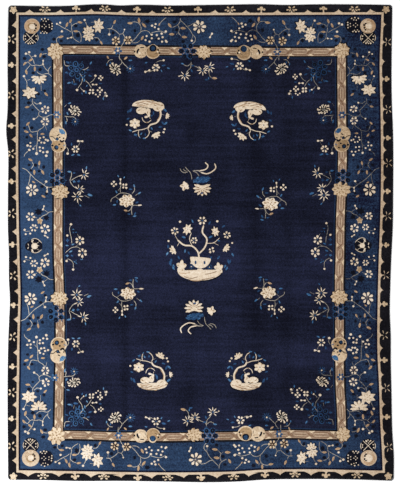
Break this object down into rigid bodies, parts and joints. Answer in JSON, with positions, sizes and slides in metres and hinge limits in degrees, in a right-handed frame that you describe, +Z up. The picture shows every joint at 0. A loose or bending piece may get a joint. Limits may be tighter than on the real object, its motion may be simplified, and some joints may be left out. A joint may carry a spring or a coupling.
{
  "type": "peking rug",
  "caption": "Flat hand-knotted wool rug, a rectangle with slightly uneven sides, rounded corners and dark overcast edges, patterned with flower sprays and roundels.",
  "frame": {"origin": "on the floor, under the middle of the rug", "axes": "+Y along the rug's length, +X across its width, +Z up out of the pile"},
  "size_m": [2.7644, 3.4076, 0.01],
  "materials": {
    "wool_pile": "cut wool pile, matt with a soft sheen",
    "edge_wool": "wrapped wool yarn, matt"
  },
  "bodies": {
    "root": {"rug": "wool_pile", "overcast_left": "edge_wool", "overcast_right": "edge_wool", "overcast_far": "edge_wool", "overcast_near": "edge_wool"}
  },
  "joints": []
}
